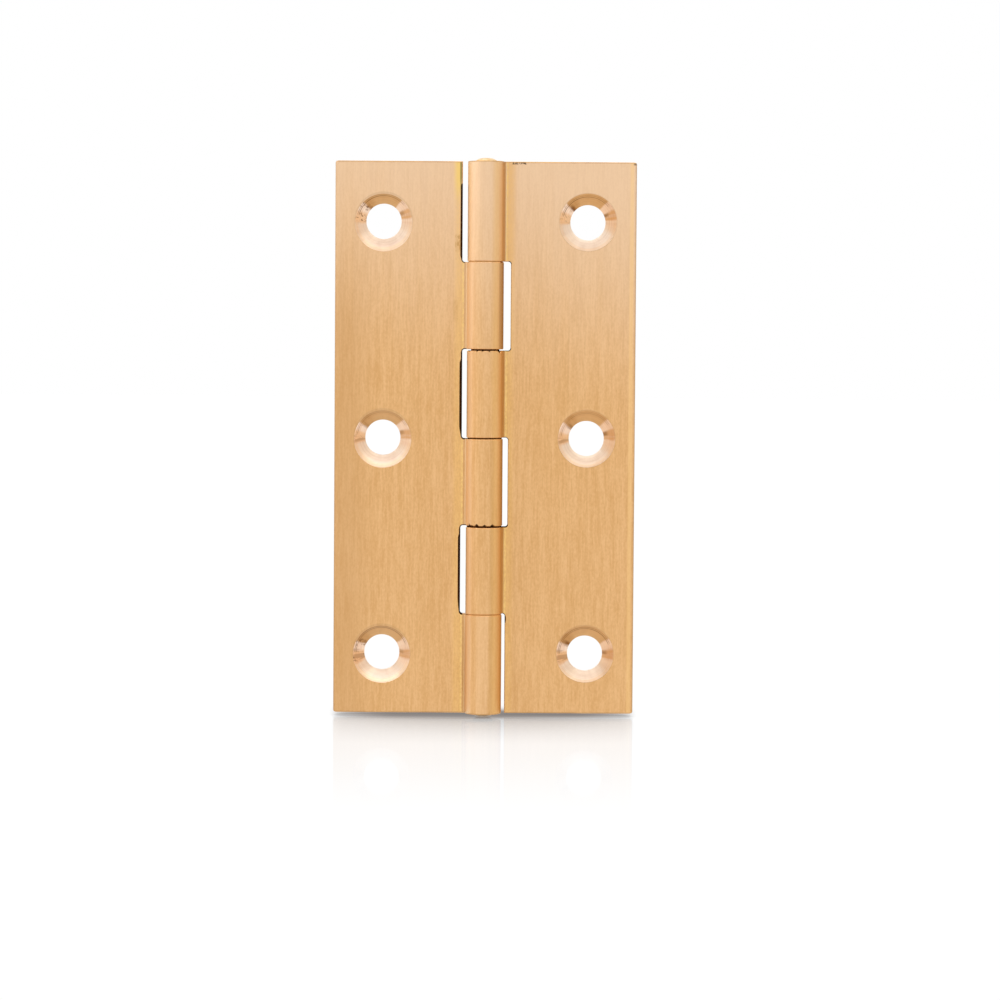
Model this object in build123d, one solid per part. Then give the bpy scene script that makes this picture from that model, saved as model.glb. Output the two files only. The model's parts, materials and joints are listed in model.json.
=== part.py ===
from build123d import *
import math
import os

# A butt hinge opened flat, in millimetres.
# The origin is on the pin's axis, midway along the leaves. +Z runs up the pin, +X runs across the right
# leaf, and the countersinks open towards -Y, the side on which the knuckles stand proud.

# Leaves: one drawn section, a flat plate with a round bead along its inner edge
LEAF_LENGTH = 76.0
LEAF_REACH = 20.7  # from the pin's axis to a leaf's outer edge
LEAF_THICKNESS = 2.0
CLOSED_GAP = 1.0  # between the leaves when they are folded face to face
ROOT_FILLET = 0.35  # where the bead runs into the plate's front face
EDGE_ROUND = 0.25  # along a leaf's outer edge
CORNER_ROUND = 0.3  # a leaf's outer corners, seen from the front

# Knuckles, counted from the top: the right leaf carries the first, third and fifth
END_KNUCKLE_LENGTH = 13.7
KNUCKLE_GAPS = (0.08, 0.20, 0.16, 0.22, 0.09)  # between neighbours, from the top
SLOT_CLEARANCES = (0.72, 1.05, 0.66, 0.80, 0.77, 0.60)  # from each knuckle to the leaf opposite
SLOT_CORNER_RADIUS = 0.35
EDGE_BREAK = 0.1  # the small chamfer round every knuckle end and slot

# Pin: a rod with its ends peened into low domes
PIN_DIAMETER = 2.5
PIN_CLEARANCE = 0.04  # all round the pin, in the bore
HEAD_SPREAD = 0.15  # how far a peened end swells past the rod
HEAD_RIM = 0.1  # the straight part of a peened end
HEAD_HEIGHT = 0.45
END_PLAY = 0.02  # between a peened end and the knuckle under it

# Screw holes, in a line down the middle of each leaf
HOLE_COUNT = 3
HOLE_DIAMETER = 4.85
SINK_DIAMETER = 7.9
SINK_ANGLE = 90.0
HOLE_END_DISTANCE = 8.25  # from a leaf's end to its first hole
HOLE_EDGE_DISTANCE = 6.65  # from a leaf's outer edge to its holes

# What follows from them
KNUCKLE_RADIUS = LEAF_THICKNESS + CLOSED_GAP / 2
FRONT_FACE = KNUCKLE_RADIUS - LEAF_THICKNESS  # y of the countersunk faces
BACK_FACE = KNUCKLE_RADIUS  # y of the backs, in line with the knuckles' backs
KNUCKLE_COUNT = len(SLOT_CLEARANCES)
INNER_KNUCKLES = KNUCKLE_COUNT - 2
INNER_KNUCKLE_LENGTH = (LEAF_LENGTH - 2 * END_KNUCKLE_LENGTH - sum(KNUCKLE_GAPS)) / INNER_KNUCKLES
BORE_DIAMETER = PIN_DIAMETER + 2 * PIN_CLEARANCE
SINK_DEPTH = (SINK_DIAMETER - HOLE_DIAMETER) / 2 / math.tan(math.radians(SINK_ANGLE / 2))
HOLE_X = LEAF_REACH - HOLE_EDGE_DISTANCE
HOLE_SPACING = (LEAF_LENGTH - 2 * HOLE_END_DISTANCE) / (HOLE_COUNT - 1)
OVERRUN = 1.0  # how far a cutter passes the metal that it cuts


def knuckle_spans() -> list[tuple[float, float]]:
    """The bottom and top of each knuckle, from the highest down."""
    spans = []
    top = LEAF_LENGTH / 2
    for index in range(KNUCKLE_COUNT):
        at_end = index in (0, KNUCKLE_COUNT - 1)
        bottom = top - (END_KNUCKLE_LENGTH if at_end else INNER_KNUCKLE_LENGTH)
        spans.append((bottom, top))
        if index < len(KNUCKLE_GAPS):
            top = bottom - KNUCKLE_GAPS[index]
    return spans


def drawn_section() -> Sketch:
    """The leaf's section: the bead round the pin and the plate that leaves it along its back."""
    bead = Circle(KNUCKLE_RADIUS)
    plate_middle = (FRONT_FACE + BACK_FACE) / 2
    plate = Pos(LEAF_REACH / 2, plate_middle) * Rectangle(LEAF_REACH, LEAF_THICKNESS)
    section = bead + plate
    section = fillet(section.vertices().group_by(Axis.X)[-1], EDGE_ROUND)
    root = Vector(math.sqrt(KNUCKLE_RADIUS**2 - FRONT_FACE**2), FRONT_FACE)
    return fillet(section.vertices().sort_by_distance(root)[0], ROOT_FILLET)


def plan_outline() -> Sketch:
    """The blank's outline seen from the front, with the outer corners rounded."""
    inner = -KNUCKLE_RADIUS - OVERRUN
    outline = Pos((LEAF_REACH + inner) / 2, 0) * Rectangle(LEAF_REACH - inner, LEAF_LENGTH)
    return fillet(outline.vertices().group_by(Axis.X)[-1], CORNER_ROUND)


def slot_cutter(index: int, spans: list[tuple[float, float]]) -> Part:
    """The room that the opposite leaf's knuckle takes, from the knuckle below it to the one above."""
    bottom = spans[index + 1][1] if index + 1 < KNUCKLE_COUNT else -LEAF_LENGTH / 2 - OVERRUN
    top = spans[index - 1][0] if index else LEAF_LENGTH / 2 + OVERRUN
    wall = KNUCKLE_RADIUS + SLOT_CLEARANCES[index]
    inner = -KNUCKLE_RADIUS - OVERRUN
    outline = Pos((wall + inner) / 2, (bottom + top) / 2) * Rectangle(wall - inner, top - bottom)
    outline = fillet(outline.vertices().group_by(Axis.X)[-1], SLOT_CORNER_RADIUS)
    return extrude(Plane.XZ * outline, KNUCKLE_RADIUS + OVERRUN, both=True)


def screw_hole(z: float) -> Part:
    """One countersunk hole: a straight hole with a cone that opens at the front face."""
    straight = Cylinder(HOLE_DIAMETER / 2, 2 * (LEAF_THICKNESS + OVERRUN))
    mouth = SINK_DIAMETER / 2 + OVERRUN * math.tan(math.radians(SINK_ANGLE / 2))
    cone = Pos(0, 0, (OVERRUN - SINK_DEPTH) / 2) * Cone(HOLE_DIAMETER / 2, mouth, SINK_DEPTH + OVERRUN)
    front = Plane(origin=(HOLE_X, FRONT_FACE, z), x_dir=(1, 0, 0), z_dir=(0, -1, 0))
    return front * (straight + cone)


def sawn_edges(leaf: Part) -> ShapeList[Edge]:
    """The edges of both sawn ends and the knuckles' rims, from which the break runs on round the slots."""
    arcs = leaf.edges().filter_by(GeomType.CIRCLE)
    rims = arcs.filter_by(lambda edge: abs(edge.radius - KNUCKLE_RADIUS) < EDGE_BREAK / 10)
    by_height = leaf.edges().group_by(Axis.Z)
    return ShapeList({*rims, *by_height[0], *by_height[-1]})


def leaf(first_knuckle: int) -> Part:
    """A leaf that reaches towards +X and carries every second knuckle, starting with the one given."""
    spans = knuckle_spans()
    blank = extrude(drawn_section(), LEAF_LENGTH / 2, both=True)
    for index in range(1 - first_knuckle, KNUCKLE_COUNT, 2):
        blank -= slot_cutter(index, spans)
    blank = chamfer(sawn_edges(blank), EDGE_BREAK)
    blank &= extrude(Plane.XZ * plan_outline(), KNUCKLE_RADIUS + OVERRUN, both=True)
    blank -= Cylinder(BORE_DIAMETER / 2, LEAF_LENGTH + 2 * OVERRUN)
    for row in range(HOLE_COUNT):
        blank -= screw_hole((row - (HOLE_COUNT - 1) / 2) * HOLE_SPACING)
    return blank


def hinge_pin() -> Part:
    """The rod through all the knuckles, turned from half of its lengthwise section."""
    rod_radius = PIN_DIAMETER / 2
    head_radius = rod_radius + HEAD_SPREAD
    seat = LEAF_LENGTH / 2 + END_PLAY
    rim = seat + HEAD_RIM
    crown = seat + HEAD_HEIGHT
    dome_radius = (head_radius**2 + (crown - rim) ** 2) / (2 * (crown - rim))
    side = [(head_radius, -rim), (head_radius, -seat), (rod_radius, -seat), (rod_radius, seat)]
    side += [(head_radius, seat), (head_radius, rim)]
    outline = Polyline(*side)
    outline += RadiusArc((head_radius, rim), (0, crown), -dome_radius)
    outline += Line((0, crown), (0, -crown))
    outline += RadiusArc((0, -crown), (head_radius, -rim), -dome_radius)
    return revolve(Plane.XZ * make_face(outline), Axis.Z)


def main() -> None:
    """Writes each piece to its own file."""
    nodes = {
        "right_leaf": leaf(first_knuckle=0),
        "left_leaf": mirror(leaf(first_knuckle=1), about=Plane.YZ),
        "hinge_pin": hinge_pin(),
    }
    os.makedirs("parts", exist_ok=True)
    for name, shape in nodes.items():
        export_step(shape, f"parts/{name}.step")


main()
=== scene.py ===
"""The looks of a narrow brass butt hinge that stands opened flat.

The hinge's own lengths are in millimetres. Each mesh is shaped in millimetres and is brought to metres, the
frame's unit, as its last step. The studio's lengths are in metres.
"""

from __future__ import annotations

import json
import logging
import math
from dataclasses import dataclass, field
from enum import Enum, IntEnum
from functools import partialmethod

import bmesh
import bpy
import numpy as np
from bpy.types import Material, Mesh, Node, NodeSocket, NodeTree, Object
from mathutils import Euler, Matrix, Vector
from mathutils.geometry import intersect_point_line

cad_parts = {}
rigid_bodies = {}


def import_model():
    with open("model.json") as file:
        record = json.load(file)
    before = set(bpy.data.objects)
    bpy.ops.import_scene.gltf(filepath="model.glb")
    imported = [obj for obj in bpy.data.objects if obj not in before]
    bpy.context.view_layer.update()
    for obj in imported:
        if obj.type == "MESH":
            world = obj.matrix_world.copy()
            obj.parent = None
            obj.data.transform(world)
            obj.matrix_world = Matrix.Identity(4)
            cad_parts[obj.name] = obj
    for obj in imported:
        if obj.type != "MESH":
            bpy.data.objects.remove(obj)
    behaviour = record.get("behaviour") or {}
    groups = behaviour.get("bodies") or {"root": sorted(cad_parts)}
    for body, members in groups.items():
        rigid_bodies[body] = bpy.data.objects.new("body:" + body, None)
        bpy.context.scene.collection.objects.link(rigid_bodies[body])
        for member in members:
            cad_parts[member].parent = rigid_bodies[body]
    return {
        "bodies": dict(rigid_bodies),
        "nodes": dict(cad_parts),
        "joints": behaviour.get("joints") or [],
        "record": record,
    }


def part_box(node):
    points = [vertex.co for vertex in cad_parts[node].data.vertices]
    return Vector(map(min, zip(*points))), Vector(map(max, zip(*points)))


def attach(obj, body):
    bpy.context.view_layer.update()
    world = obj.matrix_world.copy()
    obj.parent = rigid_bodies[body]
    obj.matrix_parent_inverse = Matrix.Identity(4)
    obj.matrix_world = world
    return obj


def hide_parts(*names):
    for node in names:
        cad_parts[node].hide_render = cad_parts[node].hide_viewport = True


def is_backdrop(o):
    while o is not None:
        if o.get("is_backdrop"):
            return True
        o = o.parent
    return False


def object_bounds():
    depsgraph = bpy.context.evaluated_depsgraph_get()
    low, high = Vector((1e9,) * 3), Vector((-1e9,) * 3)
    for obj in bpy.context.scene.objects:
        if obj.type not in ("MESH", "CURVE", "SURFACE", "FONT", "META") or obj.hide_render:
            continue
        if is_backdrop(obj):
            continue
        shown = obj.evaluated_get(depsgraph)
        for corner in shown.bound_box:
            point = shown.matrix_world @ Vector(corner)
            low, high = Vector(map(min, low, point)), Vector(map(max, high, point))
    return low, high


LOG = logging.getLogger("butt_hinge")
METRES_PER_MM = 0.001
MM_PER_METRE = 1000.0
IMAGE_WIDTH_PX = 1000
SENSOR_WIDTH_MM = 36.0
GRAIN_MAP = "Grain"
GRAIN_MAP_SCALE = 0.01  # UV units for each millimetre
MERGE_DISTANCE = 1e-4  # between points, in millimetres
EDGE_SLACK = 0.002  # how far an idle point may be off its edge, in millimetres
MOUTH_REACH = 0.3  # how far a cutter's flared mouth goes past the metal, in millimetres
LEAF_CREASE = 28.0  # edges that bend by more than this, in degrees, are sharp
PIN_CREASE = 35.0
STRAIGHT_ON = 0.99  # a direction's share along an axis from which it counts as along it
NEAR_LEVEL = 0.95  # the same for faces that lie nearly level
TINY = 1e-9  # keeps a length off zero

Pair = tuple[float, float]
Edges = tuple[float, float, float, float]
Colour = tuple[float, float, float, float]
Triple = tuple[float, float, float]
Series = tuple[float, ...]
Spans = tuple[Pair, ...]
Stretch = tuple[np.ndarray, np.ndarray]
WHITE: Colour = (1.0, 1.0, 1.0, 1.0)


class Surface(IntEnum):
    """The kinds of surface on a leaf, each of which is one material slot of its mesh."""

    BRUSHED = 0
    SAWN = 1
    TURNED = 2
    # Tarnish, which on slot walls, lips and knuckle gaps is also painted shade.
    TARNISHED = 3


class Step(Enum):
    """What a step of the shaping does with a solid."""

    CUT = "DIFFERENCE"
    JOIN = "UNION"


class Side(IntEnum):
    """The side of the pin that a leaf reaches to."""

    LEFT = -1
    RIGHT = 1


def arc(centre: Pair, radius: float, start: float, end: float, count: int) -> np.ndarray:
    """Points on a circle: the centre plus the radius times the cosine and sine of each angle.

    Args:
        centre: the circle's centre.
        radius: its radius.
        start: the first angle, in degrees.
        end: the last angle, in degrees.
        count: how many points.

    Returns:
        An array of count rows and 2 columns.
    """
    angle = np.radians(np.linspace(start, end, count))
    return columns(centre[0] + radius * np.cos(angle), centre[1] + radius * np.sin(angle))


def columns(*values: np.ndarray | float) -> np.ndarray:
    """Puts coordinates side by side as the last axis of one array, each spread out to the size of all."""
    return np.stack(np.broadcast_arrays(*values), axis=-1)


def bend(centre: Pair, radius: float, start: float, end: float, count: int) -> Stretch:
    """A rounded stretch of an outline, as arc makes it, with the direction outwards at each point."""
    return arc(centre, radius, start, end, count), arc((0.0, 0.0), 1.0, start, end, count)


def straight(points: np.ndarray, outward: Pair) -> Stretch:
    """A straight stretch of an outline, with the one direction outwards for each point."""
    return points, np.tile(outward, (len(points), 1))


def join(*stretches: Stretch) -> Stretch:
    """Strings stretches of an outline together."""
    points, outward = zip(*stretches)
    return np.concatenate(points), np.concatenate(outward)


def smooth_step(value: np.ndarray, low: float, high: float) -> np.ndarray:
    """Rises from 0 at low to 1 at high as three t squared less two t cubed, flat at both ends."""
    t = np.clip((value - low) / (high - low), 0.0, 1.0)
    return t * t * (3.0 - 2.0 * t)


def closed_surface(
    name: str, x: np.ndarray, y: np.ndarray, z: np.ndarray, surface: Surface = Surface.BRUSHED
) -> Object:
    """Makes a closed mesh from a grid whose rows are closed loops, with a flat face over each end loop.

    Args:
        name: the object's name.
        x: the first coordinate, which spreads out with y and z to rows and columns. Each row is one loop.
        y: the second coordinate.
        z: the third coordinate.
        surface: the kind of surface, which becomes the faces' material index.

    Returns:
        The object, linked to the scene, with its faces pointing outwards.
    """
    points = columns(x, y, z)
    rows, width = points.shape[:2]
    row, place = np.meshgrid(width * np.arange(rows - 1), np.arange(width), indexing="ij")
    following = (place + 1) % width
    quads = columns(row + place, row + width + place, row + width + following, row + following).reshape(-1, 4)
    last = (rows - 1) * width
    caps = [list(range(width)), list(range(last + width - 1, last - 1, -1))]
    mesh = bpy.data.meshes.new(name)
    mesh.from_pydata(points.reshape(-1, 3), [], quads.tolist() + caps)
    for _ in Surface:
        mesh.materials.append(None)
    set_surfaces(mesh, np.full(len(mesh.polygons), surface))
    turn_faces_outward(mesh)
    return show(name, mesh)


def set_surfaces(mesh: Mesh, kinds: np.ndarray) -> None:
    """Gives each face its kind of surface, as its material index."""
    mesh.polygons.foreach_set("material_index", kinds.astype(np.int32))


def read_vectors(items: bpy.types.bpy_prop_collection, attribute: str) -> np.ndarray:
    """Reads one vector of each item into an array of 3 columns."""
    values = np.zeros(len(items) * 3, np.float32)
    items.foreach_get(attribute, values)
    return values.reshape(-1, 3).astype(float)


def read_numbers(items: bpy.types.bpy_prop_collection, attribute: str) -> np.ndarray:
    """Reads one whole number of each item into an array."""
    values = np.zeros(len(items), np.int32)
    items.foreach_get(attribute, values)
    return values


def lies_on_edge(vertex: bmesh.types.BMVert) -> bool:
    """Tells whether a point has only two edges and all but lies on the line between their far ends."""
    if len(vertex.link_edges) != 2:
        return False
    first, second = (edge.other_vert(vertex).co for edge in vertex.link_edges)
    return (intersect_point_line(vertex.co, first, second)[0] - vertex.co).length < EDGE_SLACK


def turn_faces_outward(mesh: Mesh) -> None:
    """Merges points that coincide, drops slivers and idle points, and makes the faces point outwards."""
    draft = bmesh.new()
    draft.from_mesh(mesh)
    bmesh.ops.remove_doubles(draft, verts=draft.verts, dist=MERGE_DISTANCE)
    bmesh.ops.dissolve_degenerate(draft, edges=draft.edges, dist=MERGE_DISTANCE)
    bmesh.ops.dissolve_verts(draft, verts=[vertex for vertex in draft.verts if lies_on_edge(vertex)])
    bmesh.ops.recalc_face_normals(draft, faces=draft.faces)
    draft.to_mesh(mesh)
    draft.free()


def show(name: str, mesh: Mesh) -> Object:
    """Links a new object with this mesh to the scene."""
    piece = bpy.data.objects.new(name, mesh)
    bpy.context.scene.collection.objects.link(piece)
    return piece


def settle(piece: Object) -> None:
    """Replaces an object's mesh by what its modifiers make of it, and takes the modifiers off."""
    depsgraph = bpy.context.evaluated_depsgraph_get()
    finished = bpy.data.meshes.new_from_object(piece.evaluated_get(depsgraph))
    draft = piece.data
    piece.modifiers.clear()
    piece.data = finished
    bpy.data.meshes.remove(draft)


def carve(blank: Object, steps: list[tuple[Step, Object]]) -> None:
    """Joins solids to the blank or cuts them out of it, in order, and deletes them.

    Args:
        blank: the solid that is worked on.
        steps: what to do with each closed solid. The faces that it leaves keep its material index.
    """
    for step, solid in steps:
        work = blank.modifiers.new(solid.name, "BOOLEAN")
        work.operation = step.value
        work.solver = "EXACT"
        work.material_mode = "INDEX"
        work.object = solid
    settle(blank)
    for _, solid in steps:
        shape = solid.data
        bpy.data.objects.remove(solid)
        bpy.data.meshes.remove(shape)


def shade(piece: Object, crease: float) -> None:
    """Shades a mesh smooth, but for edges that bend by more than the crease angle, in degrees."""
    piece.data.shade_smooth()
    piece.data.set_sharp_from_angle(angle=math.radians(crease))
    weighted = piece.modifiers.new("Flat faces lead", "WEIGHTED_NORMAL")
    weighted.mode = "FACE_AREA"
    weighted.keep_sharp = True
    settle(piece)


@dataclass(frozen=True)
class HingeSizes:
    """The hinge's sizes in millimetres, of which the first six are read from the frame."""

    half_length: float
    reach: float
    knuckle_radius: float
    hole_radius: float
    hole_places: Spans
    crown: float
    thickness: float = 2.0
    root_fillet: float = 0.35
    edge_round: float = 0.25
    corner_round: float = 0.3
    end_knuckle: float = 13.7
    knuckle_gaps: Series = (0.08, 0.20, 0.16, 0.22, 0.09)
    slot_clearances: Series = (0.72, 1.05, 0.66, 0.80, 0.77, 0.60)
    slot_corner: float = 0.35
    bearing_radii: Series = (2.35, 1.95, 2.35, 2.38, 2.35)
    bearing_play: float = 0.015
    # Gaps whose faces go near-black, as tarnish and as painted shade in the gap.
    gap_shaded_brown: tuple[bool, ...] = (False, True, True, True, False)
    edge_break: float = 0.1
    sink_radius: float = 3.95
    bore_radius: float = 1.29
    pin_radius: float = 1.25
    overrun: float = 1.0
    corner_zone: float = 1.0  # how far in from the outer edge the rounding of the corners draws on

    @classmethod
    def from_frame(cls, frame: dict) -> HingeSizes:
        """Reads the outline, the screw holes and the pin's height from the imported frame.


        Returns:
            The hinge's sizes.
        """
        low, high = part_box("right_leaf")
        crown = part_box("hinge_pin")[1].z
        places = set()
        radius = 0.0
        for mount in frame["record"]["mounts"]:
            if mount["kind"] != "bolt_pattern":
                continue
            x, _, z = (round(value * MM_PER_METRE, 4) for value in mount["pos_m"])
            half = mount["dims"]["spacing_y_mm"] / 2
            radius = mount["dims"]["hole_r_mm"]
            places |= {(abs(x), round(z - half, 3)), (abs(x), round(z + half, 3))}
        return cls(
            half_length=high.z * MM_PER_METRE,
            reach=high.x * MM_PER_METRE,
            knuckle_radius=-low.y * MM_PER_METRE,
            hole_radius=radius,
            hole_places=tuple(sorted(places)),
            crown=crown * MM_PER_METRE,
        )

    @property
    def front(self) -> float:
        """The y of the countersunk faces."""
        return self.knuckle_radius - self.thickness

    @property
    def back(self) -> float:
        """The y of the backs."""
        return self.knuckle_radius

    @property
    def sink_depth(self) -> float:
        """How deep a sink of 90 degrees goes until it meets the straight hole."""
        return self.sink_radius - self.hole_radius

    def gap_surface(self, gap: int) -> Surface:
        """What the faces on both sides of a gap look like, counted from the top."""
        shaded_brown = 0 <= gap < len(self.gap_shaded_brown) and self.gap_shaded_brown[gap]
        return Surface.TARNISHED if shaded_brown else Surface.SAWN

    def knuckle_spans(self) -> list[Pair]:
        """The bottom and top of each knuckle, from the highest down."""
        count = len(self.slot_clearances)
        taken = 2 * self.end_knuckle + sum(self.knuckle_gaps)
        inner = (2 * self.half_length - taken) / (count - 2)
        spans = []
        top = self.half_length
        for index in range(count):
            bottom = top - (self.end_knuckle if index in (0, count - 1) else inner)
            spans.append((bottom, top))
            if index < count - 1:
                top = bottom - self.knuckle_gaps[index]
        return spans


@dataclass(frozen=True)
class WallLip:
    """Where the tool dragged a slot's wall open at the front face, in millimetres."""

    width: float
    depth: float
    top: float
    bottom: float
    top_ease: float = 0.5
    bottom_ease: float = 0.8

    def drag(self, height: np.ndarray) -> np.ndarray:
        """How far the wall stands back at each height."""
        from_top = smooth_step(self.top - height, 0.0, self.top_ease)
        from_bottom = smooth_step(height - self.bottom, 0.0, self.bottom_ease)
        return self.width * from_top * from_bottom


@dataclass(frozen=True)
class Nick:
    """A tooth mark in a knuckle's rim, seen from the front, in millimetres."""

    x: float
    height: float
    width: float


@dataclass
class HingeLeaf:
    """One leaf: a flat plate and its knuckles, cut from one drawn length of brass.

    The fields that end in points or sides say how finely a shape is drawn. The others are in millimetres, in
    degrees or shares, as the methods that use them say. end_rings are the distances from a sawn end at which
    the blank has a ring of points, and the zones are where a slot's eased mouths start past a knuckle.
    """

    sizes: HingeSizes
    side: Side
    first_knuckle: int
    edge_roll: float
    lips: dict[int, tuple[WallLip, ...]] = field(default_factory=dict)
    nicks: dict[tuple[int, int], tuple[Nick, ...]] = field(default_factory=dict)
    wall_creep: dict[int, float] = field(default_factory=dict)
    sink_drift: float = 0.0
    roll_width: float = 0.9
    end_rings: Series = (0.0, 0.015, 0.05, 0.1, 0.17, 0.3)
    slot_ease: float = 0.13
    ease_steps: Series = (0.0, 0.3, 0.65, 1.0)
    lip_depth: float = 0.5
    lip_steps: Series = (0.12, 0.3, 0.6, 1.0)
    lip_curve: float = 1.3
    least_drag: float = 0.02
    plate_zone: Pair = (0.05, 0.25)
    back_zone: Pair = (0.05, 0.5)
    drift_end: float = 1.2
    bearing_root: float = 3.0
    rim_bite: float = 0.09
    rim_way: Pair = (-6.0, -262.0)
    rim_runout: float = 15.0
    rim_clearance: float = 0.05
    rim_in: float = 1.5
    rim_out: float = 0.5
    nick_pull: float = 1.6
    roll_points: int = 9
    edge_points: int = 6
    hollow_points: int = 8
    bead_points: int = 97
    slot_points: int = 7
    floor_points: int = 26
    wall_points: int = 62
    rim_points: int = 300
    sink_sides: int = 128
    bore_sides: int = 48
    bearing_sides: int = 60

    @property
    def name(self) -> str:
        """The CAD node that this leaf stands for."""
        return f"{self.side.name.lower()}_leaf"

    def section(self) -> Stretch:
        """The drawn section as one closed loop with the direction out of the metal at each point.

        The loop runs along the back, round the outer edge, along the front, through the hollow fillet at
        the root and the long way round the bead. Towards the outer edge the front falls away as the square
        of the distance, as linishing leaves it.

        Returns:
            The points and the outward directions, each an array of 2 columns, x and y.
        """
        size = self.sizes
        radius, fillet, edge = size.knuckle_radius, size.root_fillet, size.edge_round
        corner_x = size.reach - edge
        root_y = size.front - fillet
        root_x = math.sqrt((radius + fillet) ** 2 - root_y**2)
        tangent = math.degrees(math.atan2(root_y, root_x))
        roll_x = np.linspace(corner_x, size.reach - self.roll_width, self.roll_points)[1:]
        hollow, into_metal = bend((root_x, root_y), fillet, 90, 180 + tangent, self.hollow_points)
        bead = arc((0.0, 0.0), radius, tangent, -270, self.bead_points)[1:-1]
        points, outward = join(
            straight(np.array([[0.0, size.back]]), (0.0, 1.0)),
            bend((corner_x, size.back - edge), edge, 90, 0, self.edge_points),
            bend((corner_x, size.front + edge), edge, 0, -90, self.edge_points),
            straight(columns(roll_x, size.front), (0.0, -1.0)),
            (hollow, -into_metal),
            (bead, bead / radius),
        )
        fall = np.clip((points[:, 0] - size.reach + self.roll_width) / self.roll_width, 0.0, 1.0) ** 2
        points[:, 1] += np.where(points[:, 1] < size.front + edge, self.edge_roll * fall, 0.0)
        return points, outward

    def blank(self) -> Object:
        """The drawn length, carried along z, with its sawn ends eased and its outer corners rounded.

        At a distance d from an end, the section shrinks by the rim of a quarter circle of the edge break's
        radius, and its outer edge draws in by the rim of a quarter circle of the corner's radius.

        Returns:
            The blank, which reaches to +x.
        """
        size = self.sizes
        points, outward = self.section()
        distance = np.array(self.end_rings)
        height = np.concatenate([-size.half_length + distance, size.half_length - distance[::-1]])
        from_end = np.concatenate([distance, distance[::-1]])[:, None]
        inset = quarter_round(from_end, size.edge_break)
        pull = quarter_round(from_end, size.corner_round)
        zone = size.corner_zone
        share = np.clip((points[:, 0] - size.reach + zone) / (zone - size.edge_round), 0.0, 1.0)
        x = points[:, 0] - inset * outward[:, 0] - pull * share
        y = points[:, 1] - inset * outward[:, 1]
        piece = closed_surface(self.name, x, y, height[:, None])
        centre = read_vectors(piece.data.polygons, "center")
        sawn = np.abs(centre[:, 2]) > size.half_length - size.edge_break
        set_surfaces(piece.data, np.where(sawn, Surface.SAWN, Surface.BRUSHED))
        return piece

    def drag(self, index: int, height: np.ndarray) -> np.ndarray:
        """How far the lips of a slot, taken together, set its wall back at each height."""
        return sum((lip.drag(height) for lip in self.lips.get(index, ())), np.zeros(len(height)))

    def slot(self, index: int) -> Object:
        """The room that a knuckle of the other leaf takes, as a cutter through the thickness.

        Its outline, with rounded inner corners, is carried along y. Where it leaves the front and the back
        it widens by a quarter round, and the wall opens further over the height of each lip, which eases
        in and out.

        Args:
            index: the other leaf's knuckle, counted from the top.

        Returns:
            The cutter.
        """
        size = self.sizes
        spans = size.knuckle_spans()
        beyond = size.half_length + size.overrun
        bottom = spans[index + 1][1] if index + 1 < len(spans) else -beyond
        top = spans[index - 1][0] if index else beyond
        wall = size.knuckle_radius + size.slot_clearances[index] - self.wall_creep.get(index, 0.0)
        inner = -size.knuckle_radius - size.overrun
        corner = size.slot_corner
        floor_x = np.linspace(inner, wall - corner, self.floor_points)[:-1]
        wall_z = np.linspace(bottom + corner, top - corner, self.wall_points)[1:-1]
        outline, outward = join(
            straight(columns(floor_x, bottom), (0.0, -1.0)),
            bend((wall - corner, bottom + corner), corner, -90, 0, self.slot_points),
            straight(columns(wall, wall_z), (1.0, 0.0)),
            bend((wall - corner, top - corner), corner, 0, 90, self.slot_points),
            straight(columns(floor_x[::-1], top), (0.0, 1.0)),
        )
        lip_depth = max((lip.depth for lip in self.lips.get(index, ())), default=self.lip_depth)
        step = self.slot_ease * np.array(self.ease_steps)
        y = np.concatenate(
            [
                [-size.knuckle_radius - size.overrun, size.front - MOUTH_REACH],
                size.front + step,
                size.front + self.slot_ease + lip_depth * np.array(self.lip_steps),
                size.back - step[::-1],
                [size.back + MOUTH_REACH, size.back + size.overrun],
            ]
        )[:, None]
        opened = np.clip(1.0 - (y - size.front) / (self.slot_ease + lip_depth), 0.0, 1.0) ** self.lip_curve
        plate = smooth_step(outline[:, 0] - size.knuckle_radius, *self.plate_zone)
        flat_back = smooth_step(outline[:, 0], *self.back_zone)
        mouth, rear = (flare(depth, self.slot_ease) for depth in (y - size.front, size.back - y))
        spread = mouth * plate + rear * flat_back
        drag = self.drag(index, outline[:, 1]) * (outward[:, 0] > STRAIGHT_ON)
        x = outline[:, 0] + spread * outward[:, 0] + opened * drag
        z = outline[:, 1] + spread * outward[:, 1]
        cutter = closed_surface(f"slot_{index}", x, y, z)
        centre = read_vectors(cutter.data.polygons, "center")
        low = centre[:, 2] < bottom + corner
        high = centre[:, 2] > top - corner
        flat = centre[:, 0] < wall - corner
        # Corners and dragged lips of the slot go near-black: tarnish, and painted shade on the walls.
        stained_and_shaded = low | high | (self.drag(index, centre[:, 2]) > self.least_drag)
        kinds = np.where(stained_and_shaded, Surface.TARNISHED, Surface.SAWN)
        kinds[flat & high] = size.gap_surface(index - 1)
        kinds[flat & low] = size.gap_surface(index)
        set_surfaces(cutter.data, kinds)
        return cutter

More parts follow.
